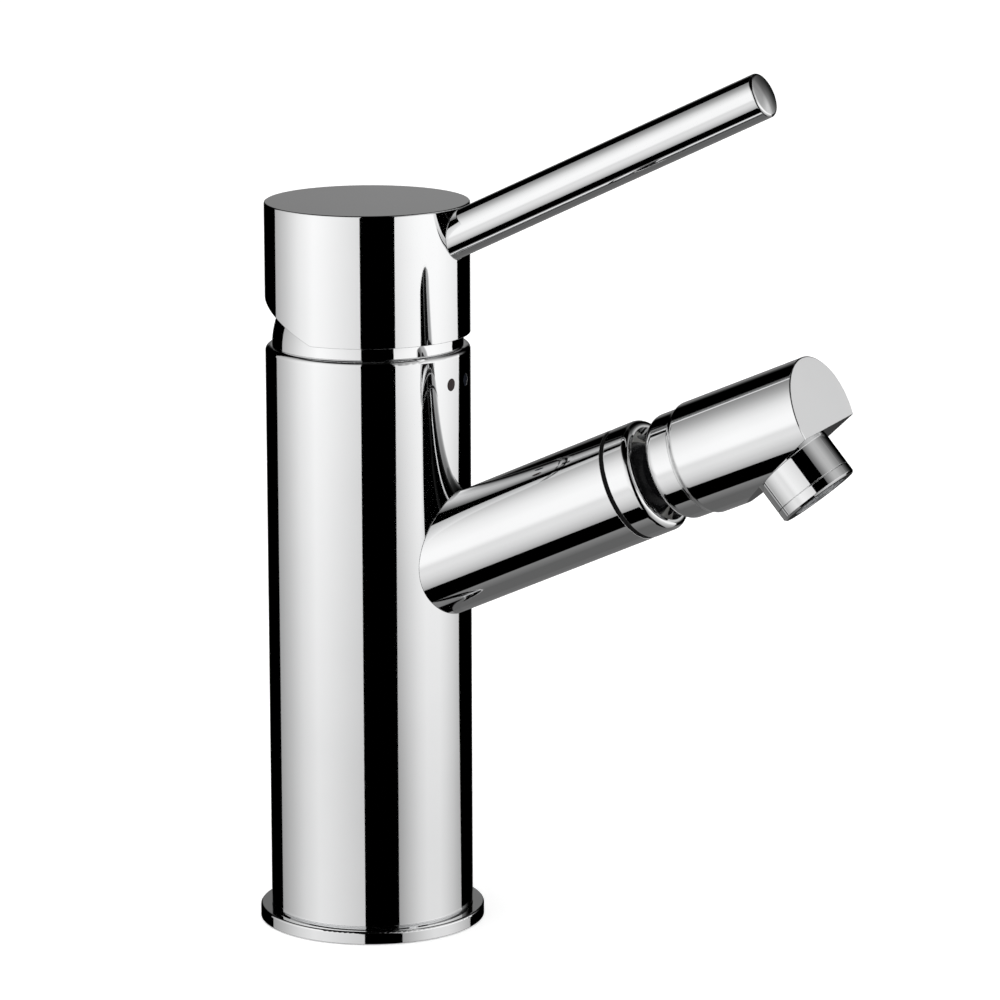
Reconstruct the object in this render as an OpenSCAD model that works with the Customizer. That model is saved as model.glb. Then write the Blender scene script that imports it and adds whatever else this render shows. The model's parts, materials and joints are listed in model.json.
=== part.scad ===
// Single-lever bidet mixer with a swivel-ball outlet, in millimetres.
// The origin is the centre of the deck face, +Z is up, and the spout and the lever point along +X.

/* [Column and base] */
// Height of the column's top above the deck
column_h = 129.7; // [118:0.1:200]
// Wall of the column round the clamp nut
column_wall = 3.45; // [2.5:0.05:8]
// Rounding of the column's top rim
rim_round = 1.2; // [0.2:0.1:1.4]
// Chamfer of the column's lower edge
foot_chamfer = 0.5; // [0.1:0.1:1]
// Wall of the hollow foot
foot_wall = 4.5; // [3:0.1:6]
// Height of the hollow foot's ceiling above the deck
foot_h = 42; // [20:1:48]
// How far the base ring stands out from the column
base_lip = 2.5; // [1:0.1:10]
// Thickness of the base ring
base_h = 2.8; // [2:0.1:6]
// Rounding of the base ring's upper edge
base_round = 0.5; // [0.1:0.1:1]
// Wall of the base ring's spigot inside the foot
base_spigot_wall = 1.2; // [0.8:0.1:2]
// Height of the base ring's spigot
base_spigot_h = 4; // [2:0.5:8]
// Width of the deck seal
seal_w = 3; // [1.5:0.1:4]
// Thickness of the deck seal
seal_h = 1.2; // [0.6:0.1:1.6]

/* [Water connections] */
// Tapping diameter of the two hose inlets
inlet_tap_d = 9; // [7:0.1:10]
// Depth of the inlet threads
inlet_tap_depth = 10; // [6:0.5:14]
// Inlets in front of the column's axis
inlet_x = 5; // [3:0.5:7]
// Distance between the two inlets
inlet_pitch = 17; // [15:0.5:19]
// Tapping diameter of the fixing stud's hole
stud_tap_d = 6.8; // [5:0.1:8.5]
// Depth of the fixing stud's thread
stud_tap_depth = 14; // [8:0.5:18]
// Fixing stud behind the column's axis
stud_x = 10; // [8:0.5:12]
// Mixed-water port behind the column's axis
outlet_x = 9; // [8:0.5:10]
// Diameter of the drilled waterways
waterway_d = 6; // [4:0.1:6.4]

/* [Spout] */
// Outside diameter of the spout
spout_d = 24.9; // [22:0.1:30]
// Rise of the spout above level
spout_angle = 24.6; // [0:0.1:40]
// Height where the spout's axis meets the column's axis
spout_z = 74.7; // [66:0.1:80]
// Length of the spout from the column's axis to its end
spout_len = 70.5; // [50:0.5:120]
// Bore of the spout
spout_bore_d = 15; // [10:0.5:17]
// Where the spout's bore ends, from the column's axis
spout_bore_start = 16; // [14:0.5:24]
// Wall of the spout's root inside the column
spout_root_wall = 2; // [1:0.1:3]
// Depth of the spout's root in the column's wall
spout_root_depth = 3; // [1.5:0.1:4]
// Wall of the spout round the collar's thread
spout_end_wall = 1.45; // [1:0.05:2]

/* [Ball collar] */
// Gap between the spout and the collar, held open by a washer
collar_groove = 1.1; // [0.1:0.1:1.5]
// Depth of that washer below the spout's surface
collar_inset = 0.3; // [0.1:0.05:0.6]
// Length of the collar in front of the groove
collar_len = 6; // [5:0.1:6.2]
// Rounding of the collar's front edge
collar_round = 1.5; // [0.3:0.1:2]
// Flat lip between the collar's rounding and its bowl
collar_lip = 0.45; // [0.1:0.05:1]
// Wall of the collar's threaded sleeve
collar_wall = 1.05; // [0.8:0.05:1.5]
// Depth of the bowl in front of the ball's seat
bowl_depth = 3.3; // [1.5:0.1:4]
// Step of the collar that holds the seat in
seat_step = 0.8; // [0.4:0.1:1.2]
// Wall of the ball's seat
seat_wall = 1.1; // [0.8:0.05:1.6]
// Length of the seat behind the ball's centre
seat_back = 4; // [3:0.1:5]
// Section diameter of the ring behind the ball
ball_seal_d = 2.6; // [1.5:0.1:3]
// Ball's centre in front of the spout's end
ball_ahead = 1; // [0:0.1:1.5]
// Diameter of the ball's neck
neck_d = 12; // [9:0.1:13]
// Step from the neck down to the stem's thread
stem_step = 1.2; // [0.8:0.1:1.5]
// Water bore through the ball
ball_bore_d = 7; // [4:0.1:8]

/* [Swivel head] */
// Swing of the head off the spout's axis, as photographed
head_swing = 2.8; // [0:0.1:9]
// Direction of that swing round the spout's axis, counted from straight down
head_swing_dir = -73; // [-180:1:180]
// Turn of the head about its own axis
head_roll = 2.3; // [-180:0.1:180]
// Diameter of the head
head_d = 24.8; // [23:0.1:32]
// Step down from the head to its rear band
band_step = 0.7; // [0.2:0.1:1.5]
// Length of the rear band
band_len = 6.5; // [6:0.1:14]
// Rounding of the rear band's edge
band_round = 2.3; // [0.3:0.1:3]
// Distance from the ball's centre to the head's back
head_gap = 9.9; // [8.3:0.1:12]
// Length of the head in front of the rear band
head_len = 32.4; // [30:0.1:45]
// Length of the shoulder behind the head's full diameter
head_cone = 1.8; // [0.5:0.1:3]
// Bevel of the head's front edge
face_bevel = 0.2; // [0.1:0.05:0.6]
// Rear wall of the sleeve
sleeve_back = 3.7; // [3:0.1:5]
// Wall of the sleeve
sleeve_wall = 2.9; // [2.5:0.1:4]
// Length of the sleeve's thread inside the head
sleeve_thread = 5.6; // [3:0.1:6]
// Section diameter of the ring round the stem
stem_seal_d = 1.5; // [1:0.1:1.8]
// Thickness of the nut that holds the head on its stem
stem_nut_h = 3.4; // [2:0.1:3.8]
// Height of the flat below the head's axis at the front face
flat_drop = 3.3; // [2.5:0.1:5]
// Slope of the flat to the head's axis
flat_angle = 20.3; // [12:0.1:22]
// Smallest wall between the head's chamber and the flat
chamber_wall = 1.5; // [1:0.1:3]
// Bore that leads from the chamber to the aerator
head_bore_d = 9; // [6:0.1:10]
// Throat above the aerator
throat_d = 11; // [10.2:0.1:12]

/* [Aerator] */
// Diameter of the aerator and its boss
aerator_d = 18; // [16:0.1:19]
// Distance of the aerator's axis behind the head's front face, on the head's axis
aerator_back = 13.4; // [12:0.1:15]
// Lean of the aerator's axis forward of the head's normal
aerator_lean = 16.3; // [12:0.1:20]
// Length of the aerator and its boss below the flat
aerator_drop = 9.4; // [8:0.1:14]
// Depth of the boss's root inside the head
boss_root = 3.5; // [2:0.1:5]
// Length of the aerator's visible ring
aerator_rim = 2.4; // [1.5:0.1:3]
// Shadow groove between the boss and the aerator's ring
aerator_groove = 0.15; // [0.05:0.05:0.4]
// Bevel of the aerator's end
aerator_bevel = 0.4; // [0.1:0.1:0.8]
// Length of the aerator's thread inside the boss
aerator_thread = 5; // [3:0.1:6]
// Wall of the boss round the thread
boss_wall = 1.1; // [0.8:0.1:1.5]
// Wall of the aerator's housing
aerator_wall = 1.4; // [1:0.1:2]
// Thickness of the jet grid
grid_h = 4; // [2:0.1:5]
// Depth of the grid behind the aerator's end
grid_recess = 1.2; // [0.5:0.1:2]
// Hole of the jet grid
grid_hole_d = 1.2; // [0.6:0.1:1.4]
// Pitch of the rings of holes
grid_pitch = 1.8; // [1.6:0.1:2]
// Rings of holes round the middle one
grid_rings = 3; // [1:1:3]
// Thickness of the aerator's washer
washer_h = 1; // [0.5:0.1:1.5]

/* [Cartridge] */
// Diameter of the cartridge
cartridge_d = 35; // [34:0.5:40]
// Wall of the cartridge's housing
housing_wall = 2.4; // [1.5:0.1:2.8]
// Thickness of the cartridge's base
cart_base_h = 5; // [4:0.1:8]
// Thickness of the fixed ceramic disc
fixed_disc_h = 4; // [3:0.1:6]
// Thickness of the sliding ceramic disc
moving_disc_h = 4.5; // [3.5:0.1:6]
// Depth of the mixing recess under the sliding disc
mix_depth = 2.4; // [1:0.1:3]
// Wall behind the mixing recess
mix_wall = 1.2; // [0.8:0.1:2]
// Thickness of the disc carrier's plate
carrier_plate_h = 2; // [1.5:0.1:3]
// Height of the carrier's block that the spindle's tail drives
carrier_block_h = 6; // [5:0.1:7]
// Length of the carrier's block
carrier_block_l = 12; // [10:0.5:13]
// Width of the carrier's block
carrier_block_w = 13; // [11:0.5:15]
// Thickness of the turret's flange
turret_flange_h = 3.5; // [2.5:0.1:5]
// Diameter of the turret's neck
turret_neck_d = 24; // [22:0.5:25]
// Height of the turret above the pivot
turret_top = 4.2; // [3:0.1:5]
// Thickness of the housing's shoulder
shoulder_h = 1.7; // [1.2:0.1:3]
// Wall of the housing's neck
neck_wall = 1.9; // [1:0.1:2.2]
// Height of the housing's neck above the column
neck_rise = 1.3; // [0.5:0.1:2]
// Locating pins of the cartridge's base
locator_d = 2.8; // [2:0.1:3]
// Locating pins behind the column's axis
locator_x = 6; // [4:0.5:7]
// Distance between the locating pins
locator_pitch = 24; // [22:0.5:25]
// Length of the locating pins
locator_h = 2.5; // [1.5:0.1:4]
// Section diameter of the port seals
port_seal_d = 1.6; // [1:0.1:2]

/* [Clamp nut and dome] */
// Wall of the clamp nut's thread outside the cartridge
nut_wall = 1.5; // [1:0.1:3]
// Depth of the clamp nut's thread in the column
nut_depth = 5; // [4:0.1:8]
// Height of the nut's land under the dome
nut_land_h = 2.6; // [2:0.1:3]
// Height of the nut's hexagon
nut_hex_h = 2.2; // [1:0.1:3]
// Width of the nut's hexagon across its corners
nut_hex_d = 35; // [32:0.1:36]
// Ledge of the column left free outside the dome
dome_ledge = 1.45; // [1:0.05:3]
// Wall of the dome
dome_wall = 1.3; // [0.8:0.1:1.6]
// Height of the dome above the column
dome_h = 12.3; // [11:0.1:13.5]
// Section diameter of the dome's ring
dome_seal_d = 1.6; // [1:0.1:1.8]

/* [Lever] */
// Largest tilt of the lever
tilt_max = 25; // [15:1:28]
// Pivot of the lever below the column's top
pivot_drop = 0.4; // [0:0.1:1]
// Gap between the column and the lever cap
cap_gap = 2.7; // [2:0.1:4]
// Height of the lever cap
cap_h = 28.9; // [27:0.1:36]
// Rounding of the cap's upper edge
cap_round = 0.35; // [0.1:0.05:1]
// Where the cap's rear bevel starts, behind the axis
bevel_start = 2.2; // [0:0.1:6]
// Height of the spindle's boss above the pivot
boss_rise = 10.7; // [10:0.1:13]
// Wall of the cap round the spindle
cap_boss_wall = 3; // [2:0.1:3.5]
// Cap left solid above the spindle
cap_crown = 5.2; // [3:0.1:7]
// Width of the square spindle
spindle_w = 8; // [7:0.1:9]
// Diameter of the spindle's pivot hub
hub_d = 10; // [8:0.1:11]
// Diameter of the spindle's tail
tail_d = 4.4; // [3:0.1:5]
// Diameter of the ball on the spindle's tail
tail_ball_d = 6; // [5:0.1:6.6]
// Flat under the tail's ball
tail_flat = 0.4; // [0.1:0.1:1]
// Tail's ball below the top of the carrier's block
tail_dip = 2.2; // [1.8:0.1:2.4]
// Diameter of the pivot pin
pin_d = 3; // [2:0.1:4]
// Length of the pivot pin
pin_len = 21; // [16:0.5:22]
// Diameter of the lever rod
rod_d = 9.9; // [8:0.1:12]
// Rise of the lever rod above level
rod_angle = 25.6; // [15:0.1:32]
// Length of the rod outside the cap, along its axis
rod_len = 80.2; // [50:0.1:120]
// Depth of the rod's seat in the cap
rod_seat = 7.5; // [5:0.1:8]
// Rounding of the rod's end
rod_round = 0.7; // [0.1:0.1:2]
// Crown of the rod's end
rod_crown = 0.4; // [0.1:0.05:1]
// Cap left above the rod where it leaves the cap
rod_cover = 0.35; // [0.1:0.05:3]
// Diameter of the stud that holds the rod
stud_d = 6; // [4:0.5:6]
// Stud's length inside the cap
stud_in_cap = 4.5; // [3:0.1:5]
// Stud's length inside the rod
stud_in_rod = 7.5; // [5:0.1:15]
// Diameter of the grub screw
grub_d = 5; // [3:0.5:6]
// Length of the grub screw
grub_len = 8; // [5:0.5:10]
// Hexagon socket of the grub screw, across its corners
grub_socket_d = 2.9; // [2:0.1:3]
// Depth of the grub screw's socket
grub_socket_depth = 4; // [2:0.1:5]
// Grub screw below the spindle's top
grub_below = 3.5; // [3:0.1:4]
// Diameter of the plug over the grub screw
plug_d = 6; // [5:0.1:8]
// Length of the plug
plug_len = 2.5; // [1.5:0.1:4]

/* [Index dots] */
// Diameter of the dots
dot_d = 2.6; // [1.5:0.1:4]
// Depth of the dots
dot_depth = 1.5; // [0.8:0.1:2]
// Dots below the column's top
dot_drop = 6.9; // [6.5:0.1:20]
// Angle between the spout's plane and each dot
dot_angle = 8.6; // [6:0.1:60]

/* [Fits] */
// Radial clearance of turning and sliding fits
running_fit = 0.06; // [0.02:0.01:0.1]
// Clearance of pieces that are screwed or pushed together
joint_fit = 0.05; // [0.02:0.01:0.1]
// Clearance of the ball in its seat
ball_fit = 0.1; // [0.05:0.01:0.2]
// Clearance of the tail's ball in the carrier
tail_fit = 0.25; // [0.15:0.01:0.4]
// Clearance between moving faces inside the cartridge
face_gap = 0.3; // [0.1:0.05:0.5]
// Clearance between the dome and the lever cap
cap_clearance = 0.45; // [0.3:0.05:0.6]

/* [Hidden] */
$fn = 96;

// Colours
chrome = "Silver";
brass = "Goldenrod";
rubber = "DimGray";
ceramic = "WhiteSmoke";
plastic = "Gainsboro";
seat_white = "Ivory";
steel = "SlateGray";
dot_dark = "DarkSlateGray";
ball_black = "Black";

// Overcut of cutting tools past the faces that they open
eps = 1;

// Radii of the column, from the cartridge outwards
cartridge_r = cartridge_d / 2;
chamber_r = cartridge_r + joint_fit;
nut_r = cartridge_r + nut_wall;
column_r = nut_r + joint_fit + column_wall;
foot_r = column_r - foot_wall;
base_r = column_r + base_lip;
base_bore_r = foot_r - joint_fit - base_spigot_wall;
seal_mid_r = (base_bore_r + base_r) / 2;

// Heights of the cartridge's stack, from the nut's seat downwards
shoulder_z = column_h - nut_depth;
flange_top_z = shoulder_z - shoulder_h - running_fit;
flange_z = flange_top_z - turret_flange_h;
block_top_z = flange_z - face_gap;
plate_top_z = block_top_z - carrier_block_h;
plate_z = plate_top_z - carrier_plate_h;
moving_disc_z = plate_z - moving_disc_h;
fixed_disc_z = moving_disc_z - fixed_disc_h;
floor_z = fixed_disc_z - cart_base_h;
housing_r = cartridge_r - housing_wall;
neck_bore_r = turret_neck_d / 2 + running_fit;
neck_r = neck_bore_r + neck_wall;

// Lever's pivot, the travel that it gives the disc, and the disc's place at rest
pivot_z = column_h - pivot_drop;
tail_z = block_top_z - tail_dip;
tail_arm = pivot_z - tail_z;
disc_travel = tail_arm * sin(tilt_max);
disc_x = -disc_travel / 2;
disc_r = housing_r - face_gap;
moving_disc_r = disc_r - disc_travel / 2 - face_gap;
port_r = waterway_d / 2;
port_seal_r = port_r + port_seal_d / 2 + joint_fit;
port_recess_r = port_seal_r + port_seal_d / 2 + joint_fit;
inlet_y = inlet_pitch / 2;
port_places = [[inlet_x, -inlet_y], [inlet_x, inlet_y], [-outlet_x, 0]];
locator_places = [[-locator_x, -locator_pitch / 2], [-locator_x, locator_pitch / 2]];

// Turret's slot for the tilting spindle
slot_w = spindle_w + 2 * running_fit + face_gap;
slot_top_reach = turret_top * tan(tilt_max) + spindle_w / 2 / cos(tilt_max);
slot_tail_reach = disc_travel + tail_ball_d / 2;
slot_half = max(hub_d / 2, slot_top_reach, slot_tail_reach) + 2 * face_gap;

// Dome and lever cap
dome_r = column_r - dome_ledge;
land_r = nut_r - dome_seal_d / 2;
dome_bore_r = land_r + face_gap;
dome_rise = dome_h + pivot_drop;
dome_hole_angle = acos(dome_rise / dome_r);
cap_z = column_h + cap_gap;
cap_top_z = cap_z + cap_h;
cavity_r = dome_r + cap_clearance;
cavity_top_z = pivot_z + dome_r * cos(dome_hole_angle - tilt_max) + cap_clearance;
spindle_top_z = cap_top_z - cap_crown;
cap_socket_w = spindle_w + 2 * joint_fit;
cap_boss_r = cap_socket_w / 2 + cap_boss_wall;
grub_z = spindle_top_z - grub_below;
grub_x = spindle_w / 2 + 2 * joint_fit;

// Lever rod along its own axis, counted from the column's axis
rod_r = rod_d / 2;
rod_out = column_r / cos(rod_angle);
rod_z = cap_top_z - rod_cover - rod_r / cos(rod_angle) - column_r * tan(rod_angle);
rod_in = rod_out - rod_seat;
rod_tip = rod_out + rod_len;
crown_r = (rod_r * rod_r + rod_crown * rod_crown) / 2 / rod_crown;

// Collar, seat and ball along the spout's axis
spout_r = spout_d / 2;
spout_root_r = spout_bore_d / 2 + spout_root_wall;
spout_root_floor = column_r - spout_root_depth;
spigot_r = spout_r - spout_end_wall - joint_fit;
seat_bore_r = spigot_r - collar_wall;
seat_r = seat_bore_r - running_fit;
ball_r = seat_r - seat_wall - ball_fit;
ball_at = spout_len + ball_ahead;
collar_at = spout_len + collar_groove;
collar_end = collar_at + collar_len;
bowl_r = spout_r - collar_round - collar_lip;
bowl_at = collar_end - bowl_depth;
seat_end = bowl_at - running_fit;
ball_seal_reach = ball_r + ball_fit + ball_seal_d / 2;
ball_seal_back = seat_back + face_gap + ball_seal_d / 2;
ball_seal_r = sqrt(pow(ball_seal_reach, 2) - pow(ball_seal_back, 2));
ball_seal_at = ball_at - ball_seal_back;
seal_seat_at = ball_seal_at - ball_seal_d / 2 - joint_fit;
spigot_at = seal_seat_at + joint_fit;

// Head along its own axis, counted from the ball's centre
head_r = head_d / 2;
band_r = head_r - band_step;
band_end = head_gap + band_len;
shoulder_r = (pow(head_cone, 2) + pow(band_step, 2)) / 4 / band_step;
face_at = band_end + head_len;
sleeve_bore_r = band_r - sleeve_wall;
sleeve_thread_r = sleeve_bore_r + sleeve_wall / 2;
stem_r = neck_d / 2;
stem_thread_r = stem_r - stem_step;
stem_nut_at = head_gap + sleeve_back + running_fit;
stem_nut_r = sleeve_bore_r - face_gap;
stem_seal_at = head_gap + sleeve_back / 2;
thread_end = band_end + sleeve_thread;
chamber_r_head = sleeve_bore_r;
chamber_end = max(thread_end + joint_fit,
                  face_at - (chamber_r_head + chamber_wall - flat_drop) / tan(flat_angle));

// Aerator along its own axis, counted from the head's axis
aerator_r = aerator_d / 2;
aerator_at = face_at - aerator_back;
aerator_angle = 90 - aerator_lean;
flat_at = (flat_drop + aerator_back * tan(flat_angle))
          / (sin(aerator_angle) + cos(aerator_angle) * tan(flat_angle));
aerator_end = flat_at + aerator_drop;
rim_at = aerator_end - aerator_rim;
boss_end = rim_at - aerator_groove;
boss_bore_r = aerator_r - boss_wall;
aerator_thread_r = boss_bore_r - joint_fit;
aerator_bore_r = aerator_thread_r - aerator_wall;
aerator_top = rim_at - aerator_thread;
washer_top = aerator_top - washer_h;
grid_end = aerator_end - grid_recess;

// Frames of the inclined pieces: local +Z runs along each axis, local +X points down
module on_spout(along = 0) {
    translate([0, 0, spout_z])
        rotate([0, 90 - spout_angle, 0])
            translate([0, 0, along])
                children();
}

module on_head(along = 0) {
    on_spout(ball_at)
        rotate([0, 0, head_swing_dir])
            rotate([0, head_swing, 0])
                rotate([0, 0, head_roll - head_swing_dir])
                    translate([0, 0, along])
                        children();
}

module on_aerator(along = 0) {
    on_head(aerator_at)
        rotate([0, aerator_angle, 0])
            translate([0, 0, along])
                children();
}

module on_rod(along = 0) {
    translate([0, 0, rod_z])
        rotate([0, 90 - rod_angle, 0])
            translate([0, 0, along])
                children();
}

// Shapes that repeat
module drill(r, from, to) {
    translate([0, 0, from])
        cylinder(r = r, h = to - from);
}

module ring(r_out, r_in, from, to) {
    difference() {
        drill(r_out, from, to);
        drill(r_in, from - eps, to + eps);
    }
}

module o_ring(mid_r, section_d) {
    rotate_extrude()
        translate([mid_r, 0])
            circle(d = section_d);
}

// Post with a rounded upper edge
module round_post(r, h, round) {
    rotate_extrude()
        union() {
            square([r, h - round]);
            square([r - round, h]);
            translate([r - round, h - round])
                intersection() {
                    circle(r = round);
                    square(round);
                }
        }
}

// Post with a rounded lower edge
module round_foot(r, h, round) {
    translate([0, 0, h])
        mirror([0, 0, 1])
            round_post(r, h, round);
}

// Post with a crowned end and a rounding tangent to the crown
module crown_post(r, h, round, crown) {
    mid_z = h - crown;
    round_x = r - round;
    reach = crown - round;
    round_z = mid_z + sqrt(reach * reach - round_x * round_x);
    lean_x = 2 * round * round_x / reach;
    lean_z = 2 * round * (round_z - mid_z) / reach;
    far = [round_x + lean_x, round_z + lean_z];
    rotate_extrude()
        union() {
            square([r, round_z]);
            intersection() {
                translate([round_x, round_z])
                    circle(r = round);
                polygon([[round_x, round_z], [r + round, round_z], [r + round, far[1]], far]);
            }
            intersection() {
                translate([0, mid_z])
                    circle(r = crown);
                polygon([[0, round_z], [round_x, round_z], far, [0, h + round]]);
            }
        }
}

// Post with a bevelled upper edge
module bevel_post(r, h, bevel) {
    rotate_extrude()
        polygon([[0, 0], [r, 0], [r, h - bevel], [r - bevel, h], [0, h]]);
}

module ports(r, from, to) {
    for (place = port_places)
        translate([place[0], place[1], 0])
            drill(r, from, to);
}

module locators(r, from, to) {
    for (place = locator_places)
        translate([place[0], place[1], 0])
            drill(r, from, to);
}

module across(r, len) {
    translate([0, len / 2, pivot_z])
        rotate([90, 0, 0])
            cylinder(r = r, h = len);
}

module index_peg(side, r) {
    rotate([0, 0, side * dot_angle])
        translate([column_r - dot_depth, 0, column_h - dot_drop])
            rotate([0, 90, 0])
                cylinder(r = r, h = dot_depth + eps);
}

module grub_axis(from, to, r) {
    translate([-from, 0, grub_z])
        rotate([0, -90, 0])
            cylinder(r = r, h = to - from);
}

// Column, with the socket that the spout is brazed into
module body_column() {
    color(chrome)
        difference() {
            translate([0, 0, base_h])
                round_post(column_r, column_h - base_h, rim_round);
            foot_edge();
            drill(foot_r, base_h - eps, foot_h);
            drill(chamber_r, floor_z, column_h + eps);
            drill(nut_r + joint_fit, shoulder_z, column_h + eps);
            locators(locator_d / 2 + joint_fit, floor_z - locator_h - joint_fit, floor_z + eps);
            inlet_ways();
            outlet_way();
            translate([-stud_x, 0, 0])
                drill(stud_tap_d / 2, foot_h - eps, foot_h + stud_tap_depth);
            for (side = [-1, 1])
                index_peg(side, dot_d / 2 + joint_fit);
        }
}

module foot_edge() {
    translate([0, 0, base_h])
        difference() {
            drill(column_r + eps, -eps, foot_chamfer);
            translate([0, 0, -eps])
                cylinder(r1 = column_r - foot_chamfer - eps, r2 = column_r, h = foot_chamfer + eps);
        }
}

module inlet_ways() {
    for (side = [-1, 1])
        translate([inlet_x, side * inlet_y, 0]) {
            drill(inlet_tap_d / 2, foot_h - eps, foot_h + inlet_tap_depth);
            drill(waterway_d / 2, foot_h, floor_z + eps);
        }
}

module outlet_way() {
    way_bottom = spout_z - outlet_x * tan(spout_angle);
    translate([-outlet_x, 0, 0])
        drill(waterway_d / 2, way_bottom, floor_z + eps);
    on_spout() {
        drill(waterway_d / 2, -outlet_x / cos(spout_angle), spout_bore_start + eps);
        drill(spout_bore_d / 2, spout_bore_start, spout_len);
    }
    spout_root(spout_root_r + joint_fit, spout_root_floor);
}

module spout_root(r, floor_r) {
    difference() {
        on_spout()
            drill(r, 0, spout_len);
        drill(floor_r, 0, column_h);
    }
}

module spout_tube() {
    color(chrome)
        difference() {
            union() {
                difference() {
                    on_spout()
                        cylinder(r = spout_r, h = spout_len);
                    drill(column_r + joint_fit, 0, column_h);
                }
                spout_root(spout_root_r, spout_root_floor + joint_fit);
            }
            on_spout() {
                drill(spout_bore_d / 2, spout_bore_start, spout_len + eps);
                drill(spigot_r + joint_fit, seal_seat_at, spout_len + eps);
            }
        }
}

module base_ring() {
    color(chrome)
        difference() {
            union() {
                round_post(base_r, base_h, base_round);
                drill(foot_r - joint_fit, 0, base_h + base_spigot_h);
            }
            drill(base_bore_r, -eps, base_h + base_spigot_h + eps);
            ring(seal_mid_r + seal_w / 2 + joint_fit, seal_mid_r - seal_w / 2 - joint_fit, -eps, seal_h);
        }
}

module base_seal() {
    color(rubber)
        ring(seal_mid_r + seal_w / 2, seal_mid_r - seal_w / 2, 0, seal_h);
}

module index_dot(side) {
    color(dot_dark)
        intersection() {
            index_peg(side, dot_d / 2);
            drill(column_r, 0, column_h);
        }
}

module hot_index() {
    index_dot(-1);
}

module cold_index() {
    index_dot(1);
}

// Cartridge, from its base upwards
module cartridge_base() {
    color(plastic)
        difference() {
            union() {
                drill(cartridge_r, floor_z, fixed_disc_z);
                locators(locator_d / 2, floor_z - locator_h, floor_z + eps);
            }
            ports(port_r, floor_z - eps, fixed_disc_z + eps);
            ports(port_recess_r, floor_z - eps, floor_z + port_seal_d);
        }
}

module port_seals() {
    color(rubber)
        for (place = port_places)
            translate([place[0], place[1], floor_z + port_seal_d / 2])
                o_ring(port_seal_r, port_seal_d);
}

module fixed_disc() {
    color(ceramic)
        difference() {
            drill(disc_r, fixed_disc_z, moving_disc_z);
            ports(port_r, fixed_disc_z - eps, moving_disc_z + eps);
        }
}

module moving_disc() {
    neck_w = 2 * port_r;
    recess_r = moving_disc_r - disc_travel;
    color(ceramic)
        translate([disc_x, 0, 0])
            difference() {
                drill(moving_disc_r, moving_disc_z, plate_z);
                drill(recess_r, moving_disc_z - eps, moving_disc_z + mix_depth);
                translate([mix_wall - moving_disc_r, -neck_w / 2, moving_disc_z - eps])
                    cube([moving_disc_r, neck_w, mix_depth + eps]);
            }
}

module disc_carrier() {
    color(plastic)
        difference() {
            union() {
                translate([disc_x, 0, 0])
                    drill(moving_disc_r, plate_z, plate_top_z);
                translate([-carrier_block_l / 2, -carrier_block_w / 2, plate_z])
                    cube([carrier_block_l, carrier_block_w, block_top_z - plate_z]);
            }
            drill(tail_ball_d / 2 + tail_fit, plate_top_z, block_top_z + eps);
        }
}

module cartridge_housing() {
    color(plastic)
        difference() {
            union() {
                drill(cartridge_r, fixed_disc_z, shoulder_z);
                drill(neck_r, shoulder_z - eps, column_h + neck_rise);
            }
            drill(housing_r, fixed_disc_z - eps, shoulder_z - shoulder_h);
            drill(neck_bore_r, fixed_disc_z, column_h + neck_rise + eps);
        }
}

module turret() {
    guide_w = carrier_block_w + 2 * running_fit + face_gap;
    color(plastic)
        difference() {
            union() {
                drill(disc_r, plate_top_z + face_gap, flange_top_z);
                drill(turret_neck_d / 2, flange_z, pivot_z + turret_top);
            }
            translate([-disc_r - eps, -guide_w / 2, plate_z])
                cube([2 * disc_r + 2 * eps, guide_w, flange_z - plate_z]);
            translate([-slot_half, -slot_w / 2, plate_z])
                cube([2 * slot_half, slot_w, pivot_z + turret_top + eps - plate_z]);
            across(pin_d / 2 + joint_fit, turret_neck_d + 2 * eps);
        }
}

module spindle_pin() {
    color(steel)
        across(pin_d / 2, pin_len);
}

module spindle() {
    color(brass)
        difference() {
            union() {
                across(hub_d / 2, spindle_w);
                translate([-spindle_w / 2, -spindle_w / 2, pivot_z])
                    cube([spindle_w, spindle_w, spindle_top_z - pivot_z]);
                spindle_tail();
            }
            across(pin_d / 2 + running_fit, spindle_w + 2 * eps);
        }
}

module spindle_tail() {
    translate([0, 0, tail_z])
        rotate_extrude()
            union() {
                intersection() {
                    circle(d = tail_ball_d);
                    translate([0, tail_flat - tail_ball_d / 2])
                        square(tail_ball_d);
                }
                square([tail_d / 2, tail_arm - hub_d / 4]);
            }
}

// Nut over the cartridge, and the dome that hides it
module clamp_nut() {
    land_z = column_h + nut_land_h;
    groove_r = dome_bore_r - dome_seal_d - 2 * joint_fit;
    groove_half = dome_seal_d / 2 + joint_fit;
    color(brass)
        difference() {
            union() {
                drill(nut_r, shoulder_z, column_h);
                drill(land_r, shoulder_z, land_z);
                translate([0, 0, land_z])
                    cylinder(d = nut_hex_d, h = nut_hex_h, $fn = 6);
            }
            drill(neck_r + joint_fit, shoulder_z - eps, land_z + nut_hex_h + eps);
            translate([0, 0, column_h + nut_land_h / 2])
                ring(land_r + eps, groove_r, -groove_half, groove_half);
        }
}

module dome_seal() {
    color(rubber)
        translate([0, 0, column_h + nut_land_h / 2])
            o_ring(dome_bore_r - joint_fit - dome_seal_d / 2, dome_seal_d);
}

module dome_cover() {
    color(chrome)
        intersection() {
            difference() {
                translate([0, 0, pivot_z])
                    sphere(r = dome_r);
                drill(dome_bore_r, column_h - eps, column_h + nut_land_h + eps);
                intersection() {
                    translate([0, 0, pivot_z])
                        sphere(r = dome_r - dome_wall);
                    drill(dome_r, column_h + nut_land_h, pivot_z + dome_r);
                }
            }
            drill(dome_r + eps, column_h, column_h + dome_h);
        }
}

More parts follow.
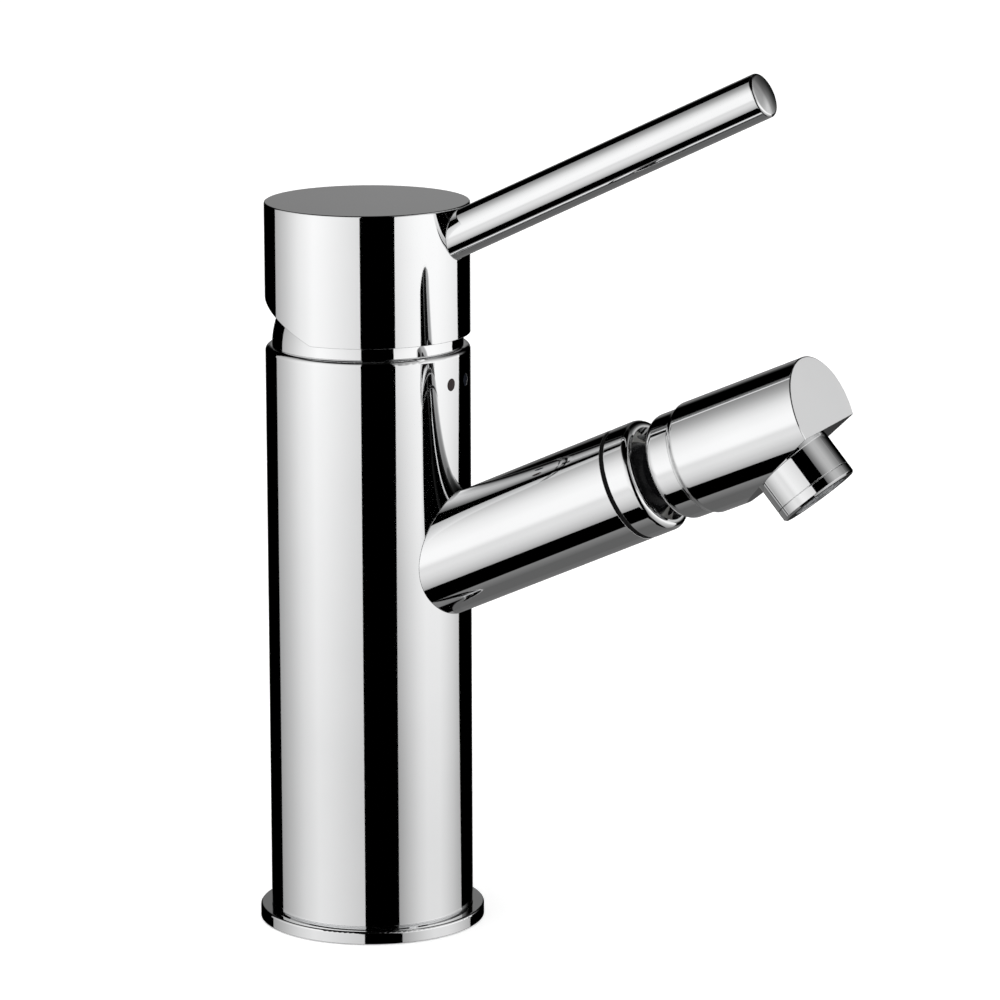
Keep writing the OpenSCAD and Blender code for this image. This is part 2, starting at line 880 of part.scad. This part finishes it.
// Lever
module lever_cap() {
    color(chrome)
        difference() {
            translate([0, 0, cap_z])
                round_post(column_r, cap_h, cap_round);
            translate([-bevel_start, 0, cap_z])
                rotate([0, tilt_max, 0])
                    translate([-2 * column_r, -column_r - eps, -2 * column_r])
                        cube([2 * column_r, 2 * column_r + 2 * eps, 2 * column_r]);
            cap_cavity();
            translate([-cap_socket_w / 2, -cap_socket_w / 2, cap_z])
                cube([cap_socket_w, cap_socket_w, spindle_top_z + joint_fit - cap_z]);
            on_rod() {
                drill(rod_r + joint_fit, rod_in - joint_fit, rod_out + rod_len);
                drill(stud_d / 2 + joint_fit, rod_in - stud_in_cap - joint_fit, rod_out);
            }
            grub_axis(0, column_r + eps, grub_d / 2 + joint_fit);
            grub_axis(column_r - plug_len - joint_fit, column_r + eps, plug_d / 2 + joint_fit);
        }
}

module cap_cavity() {
    difference() {
        intersection() {
            translate([0, 0, pivot_z])
                sphere(r = cavity_r);
            drill(cavity_r, cap_z - eps, cavity_top_z);
        }
        drill(cap_boss_r, pivot_z + boss_rise, cap_top_z);
    }
}

module lever_rod() {
    color(chrome)
        on_rod()
            difference() {
                translate([0, 0, rod_in])
                    crown_post(rod_r, rod_tip - rod_in, rod_round, crown_r);
                drill(stud_d / 2 + joint_fit, rod_in - eps, rod_in + stud_in_rod + joint_fit);
            }
}

module lever_stud() {
    color(steel)
        on_rod()
            drill(stud_d / 2, rod_in - stud_in_cap, rod_in + stud_in_rod);
}

module grub_screw() {
    color(steel)
        difference() {
            grub_axis(grub_x, grub_x + grub_len, grub_d / 2);
            translate([-grub_x - grub_len - eps, 0, grub_z])
                rotate([0, 90, 0])
                    cylinder(d = grub_socket_d, h = grub_socket_depth + eps, $fn = 6);
        }
}

module screw_plug() {
    color(chrome)
        intersection() {
            grub_axis(column_r - plug_len, column_r + eps, plug_d / 2);
            drill(column_r, cap_z, cap_top_z);
        }
}

// Ball joint at the spout's end
module spout_collar() {
    throat_r = seat_bore_r - seat_step;
    color(chrome)
        on_spout()
            difference() {
                union() {
                    translate([0, 0, collar_at])
                        round_post(spout_r, collar_len, collar_round);
                    drill(spigot_r, spigot_at, collar_at + eps);
                }
                drill(seat_bore_r, spigot_at - eps, bowl_at);
                translate([0, 0, bowl_at])
                    cylinder(r1 = throat_r, r2 = bowl_r, h = bowl_depth);
            }
}

module collar_washer() {
    color(rubber)
        on_spout()
            ring(spout_r - collar_inset, spigot_r + joint_fit, spout_len, collar_at);
}

module ball_seal() {
    color(rubber)
        on_spout(ball_seal_at)
            o_ring(ball_seal_r, ball_seal_d);
}

module ball_seat() {
    color(seat_white)
        on_spout()
            difference() {
                drill(seat_r, ball_at - seat_back, seat_end);
                translate([0, 0, ball_at])
                    sphere(r = ball_r + ball_fit);
            }
}

module ball_stem() {
    color(ball_black)
        on_head()
            difference() {
                union() {
                    sphere(r = ball_r);
                    drill(stem_r, 0, stem_nut_at);
                    drill(stem_thread_r, 0, stem_nut_at + stem_nut_h);
                }
                drill(ball_bore_d / 2, -ball_r - eps, stem_nut_at + stem_nut_h + eps);
            }
}

module stem_nut() {
    color(brass)
        on_head()
            ring(stem_nut_r, stem_thread_r + joint_fit, stem_nut_at, stem_nut_at + stem_nut_h);
}

// Swivel head
module swivel_sleeve() {
    groove_r = stem_r + running_fit + stem_seal_d + 2 * joint_fit;
    groove_half = stem_seal_d / 2 + joint_fit;
    color(chrome)
        on_head()
            difference() {
                union() {
                    translate([0, 0, head_gap])
                        round_foot(band_r, band_len, band_round);
                    drill(sleeve_thread_r, head_gap + sleeve_back, thread_end);
                }
                drill(stem_r + running_fit, head_gap - eps, head_gap + sleeve_back + eps);
                drill(sleeve_bore_r, head_gap + sleeve_back, thread_end + eps);
                drill(groove_r, stem_seal_at - groove_half, stem_seal_at + groove_half);
            }
}

module stem_seal() {
    color(rubber)
        on_head(stem_seal_at)
            o_ring(stem_r + running_fit + joint_fit + stem_seal_d / 2, stem_seal_d);
}

module nozzle_body() {
    color(chrome)
        on_head()
            difference() {
                union() {
                    difference() {
                        head_round();
                        under_flat();
                    }
                    head_boss();
                }
                drill(sleeve_thread_r + joint_fit, band_end - eps, thread_end + joint_fit);
                drill(chamber_r_head, band_end, chamber_end);
                drill(head_bore_d / 2, band_end, aerator_at);
                head_mouth();
            }
}

module head_round() {
    full_len = head_len - head_cone;
    half_len = head_cone / 2;
    inner_r = band_r - band_step;
    translate([0, 0, face_at])
        mirror([0, 0, 1])
            rotate_extrude()
                union() {
                    polygon([
                        [0, 0], [head_r - face_bevel, 0], [head_r, face_bevel],
                        [head_r, full_len], [0, full_len]
                    ]);
                    square([inner_r, head_len]);
                    intersection() {
                        translate([head_r - shoulder_r, full_len])
                            circle(r = shoulder_r);
                        translate([inner_r - band_step, full_len])
                            square([3 * band_step, half_len]);
                    }
                    translate([inner_r - band_step, full_len])
                        square([2 * band_step, half_len]);
                    difference() {
                        translate([inner_r - band_step, full_len + half_len])
                            square([2.5 * band_step, half_len]);
                        translate([band_r + shoulder_r, head_len])
                            circle(r = shoulder_r);
                    }
                }
}

module under_flat() {
    translate([flat_drop, 0, face_at])
        rotate([0, -flat_angle, 0])
            translate([0, -head_d, -2 * head_len])
                cube([2 * head_d, 2 * head_d, 3 * head_len]);
}

module head_boss() {
    translate([0, 0, aerator_at])
        rotate([0, aerator_angle, 0])
            drill(aerator_r, flat_at - boss_root, boss_end);
}

module head_mouth() {
    translate([0, 0, aerator_at])
        rotate([0, aerator_angle, 0]) {
            drill(throat_d / 2, -throat_d / 2, aerator_end);
            drill(boss_bore_r, washer_top, rim_at + eps);
        }
}

// Aerator
module aerator_housing() {
    color(chrome)
        on_aerator()
            difference() {
                union() {
                    drill(aerator_thread_r, aerator_top, aerator_end - aerator_bevel);
                    translate([0, 0, rim_at])
                        bevel_post(aerator_r, aerator_rim, aerator_bevel);
                }
                drill(aerator_bore_r, aerator_top - eps, aerator_end + eps);
            }
}

module aerator_insert() {
    color(plastic)
        on_aerator()
            difference() {
                drill(aerator_bore_r - joint_fit, grid_end - grid_h, grid_end);
                drill(grid_hole_d / 2, grid_end - grid_h - eps, grid_end + eps);
                for (row = [1 : grid_rings])
                    for (step = [1 : 6 * row])
                        rotate([0, 0, step * 60 / row])
                            translate([row * grid_pitch, 0, 0])
                                drill(grid_hole_d / 2, grid_end - grid_h - eps, grid_end + eps);
            }
}

module aerator_seal() {
    color(rubber)
        on_aerator()
            ring(aerator_thread_r, aerator_bore_r, washer_top, aerator_top);
}

body_column();
spout_tube();
base_ring();
base_seal();
hot_index();
cold_index();
cartridge_base();
port_seals();
fixed_disc();
cartridge_housing();
clamp_nut();
dome_seal();
dome_cover();
spout_collar();
collar_washer();
ball_seal();
turret();
spindle_pin();
disc_carrier();
moving_disc();
spindle();
lever_cap();
lever_rod();
lever_stud();
grub_screw();
screw_plug();
ball_seat();
ball_stem();
stem_nut();
swivel_sleeve();
stem_seal();
nozzle_body();
aerator_housing();
aerator_insert();
aerator_seal();
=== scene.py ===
import json
import math

import bpy
from mathutils import Matrix, Vector


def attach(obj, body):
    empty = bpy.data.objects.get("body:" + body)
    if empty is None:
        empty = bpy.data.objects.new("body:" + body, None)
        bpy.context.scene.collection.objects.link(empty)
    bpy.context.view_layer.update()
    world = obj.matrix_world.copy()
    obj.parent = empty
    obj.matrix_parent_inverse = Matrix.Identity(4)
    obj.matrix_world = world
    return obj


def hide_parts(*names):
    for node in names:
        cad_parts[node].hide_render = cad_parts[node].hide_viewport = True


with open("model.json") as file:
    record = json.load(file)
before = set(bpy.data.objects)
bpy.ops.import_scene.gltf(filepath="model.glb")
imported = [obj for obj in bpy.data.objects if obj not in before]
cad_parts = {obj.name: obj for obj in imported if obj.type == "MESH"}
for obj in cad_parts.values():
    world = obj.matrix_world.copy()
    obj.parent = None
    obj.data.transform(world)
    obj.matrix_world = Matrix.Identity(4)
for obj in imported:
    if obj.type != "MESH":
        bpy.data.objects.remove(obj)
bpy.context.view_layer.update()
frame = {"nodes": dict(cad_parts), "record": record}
scene = bpy.context.scene
scene.view_settings.view_transform = "Standard"

# Studio directions: azimuth 0 is towards the camera, positive to the picture's right
STUDIO_TURN = math.radians(27.35)
STUDIO_CENTRE = Vector((0.03, 0.0, 0.1))
STUDIO_R = 3.0
FRONT = Vector((math.sin(STUDIO_TURN), -math.cos(STUDIO_TURN), 0.0))
RIGHT = Vector((math.cos(STUDIO_TURN), math.sin(STUDIO_TURN), 0.0))
UP = Vector((0.0, 0.0, 1.0))
WHITE = (1.0, 1.0, 1.0, 1.0)

# Noise lies mostly between these two levels
NOISE_LOW, NOISE_HIGH = 0.3, 0.7
FINE_DETAIL, BROAD_DETAIL, BROAD_RATIO = 4.0, 2.0, 12.0
BEVEL_SAMPLES = 6


def new_material(name):
    mat = bpy.data.materials.new(name)
    mat.use_nodes = True
    nodes, links = mat.node_tree.nodes, mat.node_tree.links
    return mat, nodes, links, nodes["Principled BSDF"]


def noise(nodes, links, coord, scale, detail, stretch=None):
    """Noise in metres, so scale is features per metre; stretch scales the axes first."""
    tex = nodes.new("ShaderNodeTexNoise")
    tex.inputs["Scale"].default_value = scale
    tex.inputs["Detail"].default_value = detail
    source = coord.outputs["Object"]
    if stretch:
        mapping = nodes.new("ShaderNodeMapping")
        mapping.inputs["Scale"].default_value = stretch
        links.new(source, mapping.inputs["Vector"])
        source = mapping.outputs["Vector"]
    links.new(source, tex.inputs["Vector"])
    return tex.outputs["Fac"]


def spread(nodes, links, fac, low, high):
    """Maps the middle of a noise's range to low and high."""
    node = nodes.new("ShaderNodeMapRange")
    node.inputs["From Min"].default_value = NOISE_LOW
    node.inputs["From Max"].default_value = NOISE_HIGH
    node.inputs["To Min"].default_value = low
    node.inputs["To Max"].default_value = high
    links.new(fac, node.inputs["Value"])
    return node.outputs["Result"]


def tint(nodes, links, fac, dark, light):
    """Colours the middle of a noise's range from dark to light."""
    ramp = nodes.new("ShaderNodeValToRGB")
    first, last = ramp.color_ramp.elements
    first.position, last.position = NOISE_LOW, NOISE_HIGH
    first.color, last.color = (*dark, 1.0), (*light, 1.0)
    links.new(fac, ramp.inputs["Fac"])
    return ramp.outputs["Color"]


def bump(nodes, links, bsdf, fac, depth, strength, edge=0.0):
    """A fine bump; edge rounds the sharp edges in the shading by that radius in metres."""
    node = nodes.new("ShaderNodeBump")
    node.inputs["Distance"].default_value = depth
    node.inputs["Strength"].default_value = strength
    links.new(fac, node.inputs["Height"])
    if edge:
        soft = nodes.new("ShaderNodeBevel")
        soft.samples = BEVEL_SAMPLES
        soft.inputs["Radius"].default_value = edge
        links.new(soft.outputs["Normal"], node.inputs["Normal"])
    links.new(node.outputs["Normal"], bsdf.inputs["Normal"])


def surface(
        name, dark, light, rough, grain, depth, strength,
        metallic=0.0, stretch=None, blotch=0.0, edge=0.0, specular=0.5):
    """A procedural finish.

    The colour drifts from dark to light and the roughness over rough, with a fine bump. grain and
    blotch are features per metre, and depth and edge are metres.
    """
    mat, nodes, links, bsdf = new_material(name)
    coord = nodes.new("ShaderNodeTexCoord")
    fine = noise(nodes, links, coord, grain, FINE_DETAIL, stretch)
    broad = noise(nodes, links, coord, blotch or grain / BROAD_RATIO, BROAD_DETAIL)
    links.new(tint(nodes, links, broad, dark, light), bsdf.inputs["Base Color"])
    links.new(spread(nodes, links, fine, *rough), bsdf.inputs["Roughness"])
    bsdf.inputs["Metallic"].default_value = metallic
    bsdf.inputs["Specular IOR Level"].default_value = specular
    bump(nodes, links, bsdf, fine, depth, strength, edge)
    return mat


MATERIALS = {
    "chrome": surface(
        "polished_chrome", (0.865, 0.868, 0.872), (0.885, 0.887, 0.89), (0.022, 0.05), 900.0,
        metallic=1.0, depth=0.000002, strength=0.2, blotch=60.0, edge=0.00016),
    "brass": surface(
        "turned_brass", (0.74, 0.55, 0.26), (0.8, 0.62, 0.32), (0.18, 0.34), 700.0,
        metallic=1.0, depth=0.00001, strength=0.3, stretch=(1.0, 1.0, 6.0)),
    "steel": surface(
        "brushed_steel", (0.56, 0.57, 0.58), (0.63, 0.64, 0.65), (0.22, 0.4), 800.0,
        metallic=1.0, depth=0.00001, strength=0.3, stretch=(1.0, 8.0, 1.0)),
    "rubber": surface(
        "seal_rubber", (0.007, 0.007, 0.007), (0.012, 0.012, 0.012), (0.55, 0.75), 2500.0,
        depth=0.00003, strength=0.4, specular=0.03),
    "ceramic": surface(
        "lapped_ceramic", (0.85, 0.84, 0.8), (0.9, 0.89, 0.86), (0.16, 0.3), 3000.0,
        depth=0.000005, strength=0.2),
    "grey_plastic": surface(
        "moulded_grey", (0.36, 0.37, 0.38), (0.42, 0.43, 0.44), (0.38, 0.52), 2200.0,
        depth=0.00002, strength=0.3),
    "white_plastic": surface(
        "moulded_white", (0.76, 0.75, 0.71), (0.83, 0.82, 0.79), (0.34, 0.48), 2200.0,
        depth=0.00002, strength=0.3),
    "black_plastic": surface(
        "polished_black", (0.006, 0.006, 0.007), (0.01, 0.01, 0.011), (0.2, 0.3), 3000.0,
        depth=0.000003, strength=0.2, specular=0.2),
    "hot_dot": surface(
        "hot_dot_gloss", (0.025, 0.015, 0.015), (0.034, 0.021, 0.021), (0.1, 0.2), 3000.0,
        depth=0.000005, strength=0.2, specular=0.15),
    "cold_dot": surface(
        "cold_dot_gloss", (0.015, 0.017, 0.025), (0.021, 0.024, 0.034), (0.1, 0.2), 3000.0,
        depth=0.000005, strength=0.2, specular=0.15),
}

slot_of = {row["node"]: row["material_slot"] for row in frame["record"]["subparts"]}
for name, obj in frame["nodes"].items():
    obj.data.materials.clear()
    obj.data.materials.append(MATERIALS[slot_of[name]])

# Lever bar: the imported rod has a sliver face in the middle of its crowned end, which shows as a
# dark spot
ROD_RISE = math.radians(25.6)
APEX_NEAR = 0.000001
SLIVER_AREA = 1e-13


def mended_bar(packed, name):
    """A copy of the rod without slivers; the normals in the middle of its end lie along it."""
    axis = Vector((math.cos(ROD_RISE), 0.0, math.sin(ROD_RISE)))
    end = max(v.co.dot(axis) for v in packed.vertices)
    apex = [v.index for v in packed.vertices if end - v.co.dot(axis) < APEX_NEAR]
    place, points, faces, normals = {}, [], [], []
    for face in packed.polygons:
        spots = [apex[0] if i in apex else i for i in face.vertices]
        if len(set(spots)) < 3 or face.area < SLIVER_AREA:
            continue
        for i, corner in zip(spots, face.loop_indices):
            if i not in place:
                place[i] = len(points)
                points.append(packed.vertices[i].co.copy())
            normals.append(axis if i == apex[0] else packed.corner_normals[corner].vector.copy())
        faces.append([place[i] for i in spots])
    mesh = bpy.data.meshes.new(name)
    mesh.from_pydata(points, [], faces)
    mesh.shade_smooth()
    mesh.normals_split_custom_set(normals)
    mesh.materials.append(MATERIALS["chrome"])
    bar = bpy.data.objects.new(name, mesh)
    scene.collection.objects.link(bar)
    return bar


lever_bar = mended_bar(frame["nodes"]["lever_rod"].data, "lever_bar")
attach(lever_bar, "lever")
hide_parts("lever_rod")


# Reflection cards, as a photographer sets them round polished metal
def card_material():
    mat = bpy.data.materials.new("studio_card")
    mat.use_nodes = True
    nodes, links = mat.node_tree.nodes, mat.node_tree.links
    nodes.clear()
    shade = nodes.new("ShaderNodeAttribute")
    shade.attribute_name = "shade"
    glow = nodes.new("ShaderNodeEmission")
    out = nodes.new("ShaderNodeOutputMaterial")
    links.new(shade.outputs["Color"], glow.inputs["Color"])
    links.new(glow.outputs["Emission"], out.inputs["Surface"])
    return mat


CARD = card_material()


def direction(az, el):
    """The unit vector at an azimuth and an elevation in degrees."""
    a, e = math.radians(az), math.radians(el)
    return math.cos(e) * (math.cos(a) * FRONT + math.sin(a) * RIGHT) + math.sin(e) * UP


def card(name, az0, az1, el0, el1, level, step=3.0):
    """A curved card from az0 to az1 and el0 to el1 degrees, as bright as level(az, el)."""
    cols = max(2, round((az1 - az0) / step) + 1)
    rows = max(2, round((el1 - el0) / step) + 1)
    points, shades, faces = [], [], []
    for j in range(rows):
        el = el0 + (el1 - el0) * j / (rows - 1)
        for i in range(cols):
            az = az0 + (az1 - az0) * i / (cols - 1)
            points.append(STUDIO_CENTRE + STUDIO_R * direction(az, el))
            v = level(az, el)
            shades += [v, v, v, 1.0]
    for j in range(rows - 1):
        for i in range(cols - 1):
            k = j * cols + i
            faces.append((k, k + 1, k + cols + 1, k + cols))
    mesh = bpy.data.meshes.new(name)
    mesh.from_pydata(points, [], faces)
    mesh.attributes.new("shade", "FLOAT_COLOR", "POINT").data.foreach_set("color", shades)
    mesh.materials.append(CARD)
    obj = bpy.data.objects.new(name, mesh)
    scene.collection.objects.link(obj)
    obj.visible_camera = False
    obj.visible_diffuse = False
    obj.visible_shadow = False


def along(x, points):
    """Straight-line interpolation through (place, value) pairs in rising order."""
    if x <= points[0][0]:
        return points[0][1]
    for (x0, v0), (x1, v1) in zip(points, points[1:]):
        if x <= x1:
            return v0 + (v1 - v0) * (x - x0) / (x1 - x0)
    return points[-1][1]


def soft_box(across, up, evenness):
    """Level of a soft box: up its height, times its falloff across to the power of evenness."""

    def level(az, el):
        return along(el, up) * along(az, across) ** along(el, evenness)

    return level


# Where the two soft boxes start and end, in degrees
LEFT_END, LEFT_START, RIGHT_START, RIGHT_END = -123.5, -8, 31, 121
LEFT_TOP, RIGHT_TOP, BOX_FOOT = 46, 52, -52

# Levels across are by azimuth, the others by elevation
LEFT_ACROSS = [
    (-125, 0.42), (-102, 0.63), (-82, 0.86), (-62, 1.0), (-49, 0.96), (-34, 0.89), (-8, 0.76)]
LEFT_UP = [
    (-52, 0.41), (-44, 0.63), (-34, 0.8), (-25, 0.89), (-16, 0.87), (-9, 1.1),
    (8, 1.08), (20, 1.05), (28, 0.95), (34, 0.82), (40, 0.63), (46, 0.45)]
LEFT_EVEN = [(0, 1.05)]
RIGHT_ACROSS = [
    (31, 0.5), (44, 0.72), (56, 0.9), (67, 1.0), (85, 1.0), (95, 0.91), (106, 0.79), (125, 0.55)]
RIGHT_UP = [
    (-52, 0.4), (-30, 0.58), (-16, 0.86), (-9, 1.12), (8, 1.1), (20, 0.85), (34, 0.55), (52, 0.5)]
RIGHT_EVEN = [(-16, 1.1), (-9, 0.3), (0, 0.3), (12, 0.68), (17, 1.9)]
SPILL_ACROSS = [(121, 0.72), (125, 0.66), (128.5, 0.3), (134, 0.12), (140, 0.02), (146, 0.0)]
SPILL_UP = [(-2, 0.0), (4, 0.5), (8.5, 1.0), (12.5, 1.0), (17, 0.5), (30, 0.15)]
BACK_LOW = [(-40, 0.15), (-28, 0.2), (-24, 0.17), (-19, 0.0)]
BACK_UP = [(-24, 0.0), (-10, 0.12), (0, 0.16), (9, 0.27), (13, 0.2), (18, 0.12), (42, 0.05)]
# From straight behind, by degrees to either side
BEHIND_ACROSS = [(0, 1.0), (8, 0.75), (16, 0.0)]
TOP_UP = [(LEFT_TOP, 0.03), (60, 0.0)]
FLOOR_DIM, FLOOR_SWAY, FLOOR_EDGE = 0.195, 0.065, 0.17
FLOOR_BACK, FLOOR_RIM, FLOOR_DARK = 123.0, -80, -79


def back_level(az, el):
    """Dark back of the studio, lighter beside the right box, straight behind and near its floor."""
    spill = along(az, SPILL_ACROSS) * along(el, SPILL_UP)
    behind = along(el, BACK_UP) * along(abs(abs(az) - 180.0), BEHIND_ACROSS)
    return max(spill, behind, along(el, BACK_LOW))


def low_level(az, el):
    """Under the boxes: black in front, then the studio's dim floor, darker towards the back."""
    ahead = math.cos(math.radians(el)) * math.cos(math.radians(az)) / FLOOR_EDGE
    floor_glow = FLOOR_DIM + FLOOR_SWAY * max(-1.0, min(1.0, ahead))
    if abs(az) > FLOOR_BACK:
        return floor_glow
    return along(el, [(FLOOR_RIM, floor_glow), (FLOOR_DARK, 0.0)])


def top_level(az, el):
    """Nearly black above the boxes."""
    return along(el, TOP_UP)


def black(az, el):
    """Level of a black flag."""
    return 0.0


left_level = soft_box(LEFT_ACROSS, LEFT_UP, LEFT_EVEN)
right_level = soft_box(RIGHT_ACROSS, RIGHT_UP, RIGHT_EVEN)
card("left_soft_box", LEFT_END, LEFT_START, BOX_FOOT, LEFT_TOP, left_level)
card("right_soft_box", RIGHT_START, RIGHT_END, BOX_FOOT, RIGHT_TOP, right_level)
card("front_flag", LEFT_START, RIGHT_START, BOX_FOOT, RIGHT_TOP, black)
card("back_flag", RIGHT_END, 360 + LEFT_END, BOX_FOOT, RIGHT_TOP, back_level, step=1.5)
card("top_flag", -180, 180, RIGHT_TOP, 90, top_level)
card("top_left_flag", LEFT_END, LEFT_START, LEFT_TOP, RIGHT_TOP, top_level)
card("low_card", -180, 180, -90, BOX_FOOT, low_level, step=1.0)

# World: white to the camera, reflections and glass, a plain level for diffuse light
WORLD_LIGHT = 0.6
world = bpy.data.worlds.new("studio_world")
scene.world = world
world.use_nodes = True
nodes, links = world.node_tree.nodes, world.node_tree.links
nodes.clear()
path = nodes.new("ShaderNodeLightPath")
seen = nodes.new("ShaderNodeMath")
seen.operation = "MAXIMUM"
links.new(path.outputs["Is Camera Ray"], seen.inputs[0])
links.new(path.outputs["Is Glossy Ray"], seen.inputs[1])
either = nodes.new("ShaderNodeMath")
either.operation = "MAXIMUM"
links.new(seen.outputs["Value"], either.inputs[0])
links.new(path.outputs["Is Transmission Ray"], either.inputs[1])
plain = nodes.new("ShaderNodeBackground")
plain.inputs["Color"].default_value = WHITE
plain.inputs["Strength"].default_value = WORLD_LIGHT
white = nodes.new("ShaderNodeBackground")
white.inputs["Color"].default_value = WHITE
white.inputs["Strength"].default_value = 1.0
mix = nodes.new("ShaderNodeMixShader")
out = nodes.new("ShaderNodeOutputWorld")
links.new(either.outputs["Value"], mix.inputs["Fac"])
links.new(plain.outputs["Background"], mix.inputs[1])
links.new(white.outputs["Background"], mix.inputs[2])
links.new(mix.outputs["Shader"], out.inputs["Surface"])

# Floor: a plain pale sheet, lifted to white for the camera, which keeps the shadow
FLOOR_LIFT = 0.4
FLOOR_R, FLOOR_SIDES, FLOOR_DROP = 12.0, 96, 0.0002
FLOOR_TONE, FLOOR_ROUGH = 0.9, 0.9
bpy.ops.mesh.primitive_circle_add(
    vertices=FLOOR_SIDES, radius=FLOOR_R, fill_type="NGON", location=(0.0, 0.0, -FLOOR_DROP))
floor = bpy.context.object
floor.name = "floor"
mat, nodes, links, bsdf = new_material("floor_paper")
bsdf.inputs["Base Color"].default_value = (FLOOR_TONE, FLOOR_TONE, FLOOR_TONE, 1.0)
bsdf.inputs["Roughness"].default_value = FLOOR_ROUGH
bsdf.inputs["Specular IOR Level"].default_value = 0.0
bsdf.inputs["Emission Color"].default_value = WHITE
path = nodes.new("ShaderNodeLightPath")
lift = nodes.new("ShaderNodeMath")
lift.operation = "MULTIPLY"
lift.inputs[1].default_value = FLOOR_LIFT
links.new(path.outputs["Is Camera Ray"], lift.inputs[0])
links.new(lift.outputs["Value"], bsdf.inputs["Emission Strength"])
floor.data.materials.append(mat)
floor.visible_glossy = False

# One large soft lamp overhead
LAMP_AT, LAMP_AIM = Vector((0.2, -0.3, 2.6)), Vector((0.0, 0.0, 0.05))
LAMP_SIZE, LAMP_WATTS = 2.4, 30.0
lamp = bpy.data.objects.new("overhead_lamp", bpy.data.lights.new("overhead_lamp", "AREA"))
lamp.data.shape = "DISK"
lamp.data.size = LAMP_SIZE
lamp.data.energy = LAMP_WATTS
lamp.location = LAMP_AT
lamp.rotation_euler = (LAMP_AIM - LAMP_AT).to_track_quat("-Z", "Y").to_euler()
lamp.visible_glossy = False
scene.collection.objects.link(lamp)

# Camera: fitted to the photograph, looking down at the tap
CAM_AT = Vector((0.5342, -0.9939, 0.3359))
CAM_AZ, CAM_PITCH, CAM_ROLL = (math.radians(v) for v in (26.793, 12.083, -0.174))
SENSOR_MM, LENS_MM = 36.0, 188.22
CLIP_NEAR, CLIP_FAR = 0.05, 50.0
forward = Vector((
    -math.sin(CAM_AZ) * math.cos(CAM_PITCH),
    math.cos(CAM_AZ) * math.cos(CAM_PITCH),
    -math.sin(CAM_PITCH)))
side = Vector((math.cos(CAM_AZ), math.sin(CAM_AZ), 0.0))
over = side.cross(forward)
cam_x = side * math.cos(CAM_ROLL) + over * math.sin(CAM_ROLL)
cam_y = over * math.cos(CAM_ROLL) - side * math.sin(CAM_ROLL)
camera = bpy.data.objects.new("camera", bpy.data.cameras.new("camera"))
camera.data.sensor_width = SENSOR_MM
camera.data.lens = LENS_MM
camera.data.clip_start = CLIP_NEAR
camera.data.clip_end = CLIP_FAR
cam_turn = Matrix((cam_x, cam_y, -forward)).transposed().to_4x4()
camera.matrix_world = Matrix.Translation(CAM_AT) @ cam_turn
scene.collection.objects.link(camera)
scene.camera = camera
